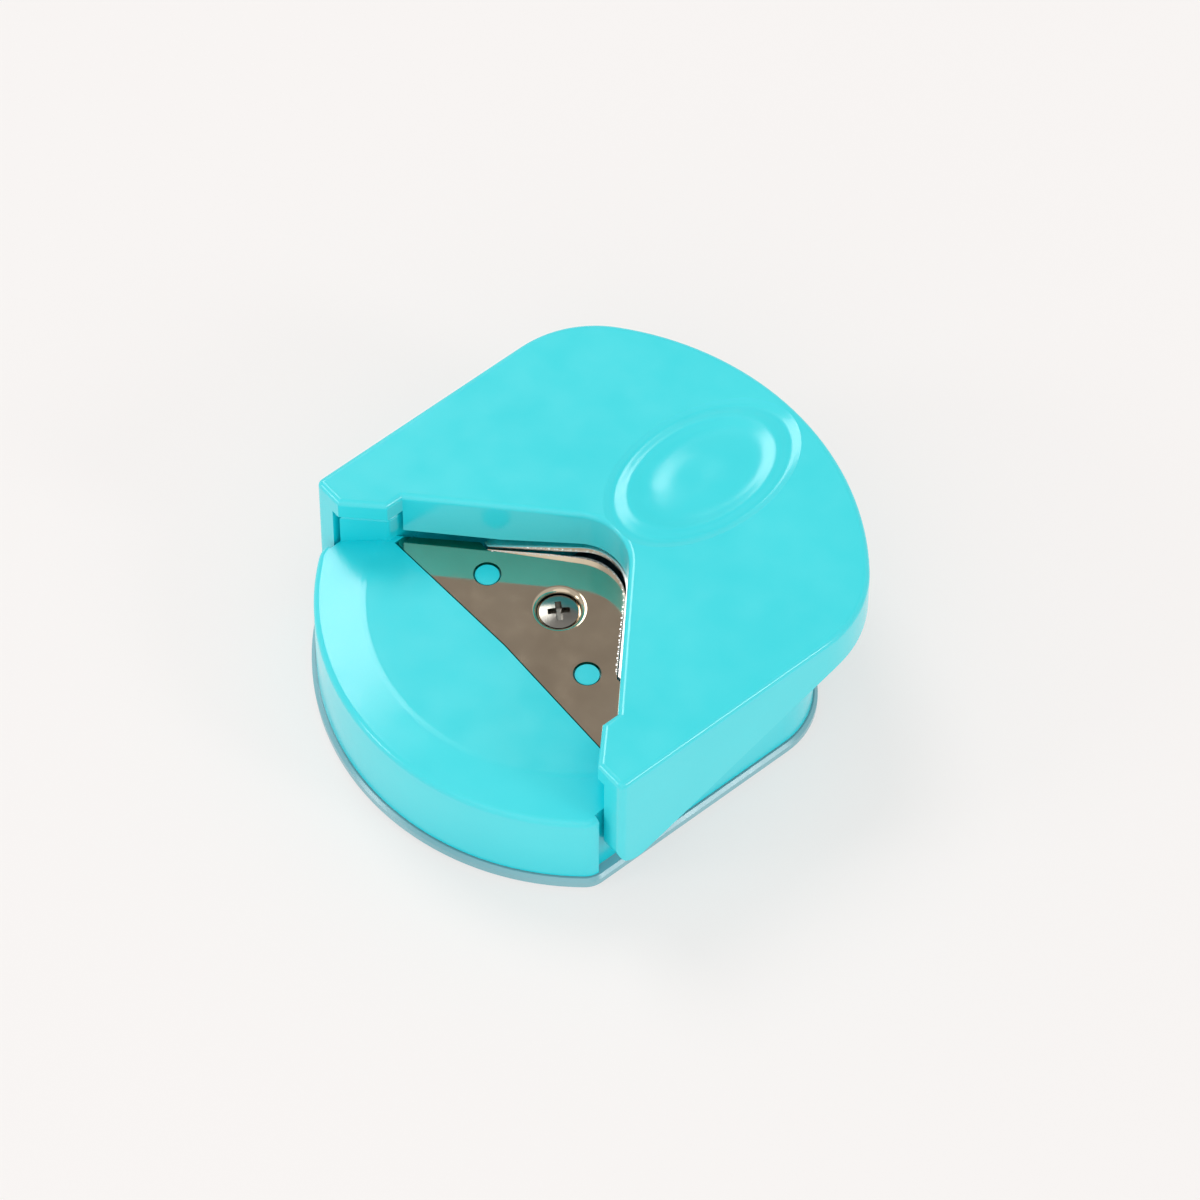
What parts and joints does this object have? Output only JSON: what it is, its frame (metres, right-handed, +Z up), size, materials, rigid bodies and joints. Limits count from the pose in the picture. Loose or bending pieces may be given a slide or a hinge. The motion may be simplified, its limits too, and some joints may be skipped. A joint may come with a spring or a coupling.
{
  "type": "corner rounder punch",
  "caption": "Desktop corner rounder: a hinged thumb lid drives a curved punch past a steel die plate to round the corner of a sheet.",
  "frame": {"origin": "underside of the chip cover, at the centre of the overall length and width", "axes": "+X across toward the right ear when the paper table faces the user, +Y from the paper table to the thumb end, +Z up"},
  "size_m": [0.06, 0.0694, 0.0235],
  "materials": {
    "turquoise_abs": "gloss, slightly translucent moulded plastic",
    "lid_abs": "gloss, slightly translucent moulded plastic",
    "cover_clear": "translucent grey-teal moulded plastic",
    "die_steel": "mirror stainless sheet",
    "punch_steel": "ground steel",
    "screw_steel": "nickel plated",
    "spring_steel": "bright spring wire"
  },
  "bodies": {
    "base": {"base_body": "turquoise_abs", "die_plate": "die_steel", "die_screw": "screw_steel", "hinge_pin_left": "screw_steel", "hinge_pin_right": "screw_steel", "return_spring": "spring_steel"},
    "lid": {"press_lid": "lid_abs", "punch_plate": "punch_steel", "punch_screws": "screw_steel"},
    "chip_cover": {"bottom_cover": "cover_clear"}
  },
  "joints": [
    {"name": "press_hinge", "type": "hinge", "parent": "base", "child": "lid", "pos_m": [0, -0.013, 0.0149], "axis": [-1, 0, 0], "range_deg": [0, 5.5], "stiffness_Nm_per_rad": 0.25, "springref_deg": -20.05, "deforming": ["return_spring"]},
    {"name": "cover_pull_off", "type": "slide", "parent": "base", "child": "chip_cover", "axis": [0, 0, -1], "range_m": [0, 0.008]}
  ]
}
